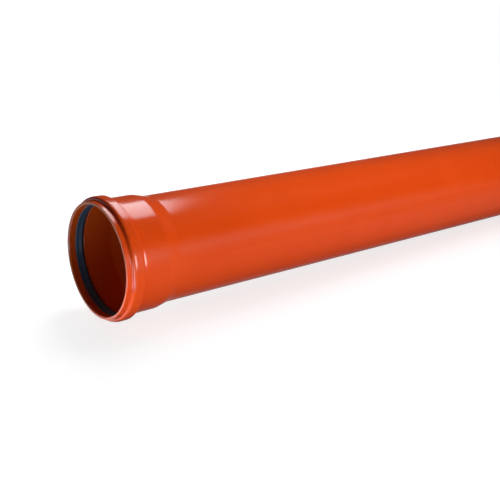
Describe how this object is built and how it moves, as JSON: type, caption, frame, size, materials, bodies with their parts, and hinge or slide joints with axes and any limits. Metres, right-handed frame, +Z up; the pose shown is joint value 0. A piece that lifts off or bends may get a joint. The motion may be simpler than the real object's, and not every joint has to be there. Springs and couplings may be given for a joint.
{
  "type": "pvc pipe",
  "caption": "Straight orange-brown PVC sewer pipe with a push-fit socket formed on one end, a black lip seal in the socket's bead, and a chamfered spigot on the other end.",
  "frame": {"origin": "on the floor that the pipe lies on, below the middle of its length", "axes": "+X along the pipe from the socket to the spigot, +Z up from the floor; the pipe's own axis leans 0.58 degrees down towards the spigot, because the pipe lies on its bead and on its spigot's end"},
  "size_m": [2.1412, 0.3572, 0.3574],
  "materials": {
    "pvc": "satin",
    "rubber": "satin"
  },
  "bodies": {
    "root": {"socket_pipe": "pvc", "seal_ring": "rubber"}
  },
  "joints": []
}
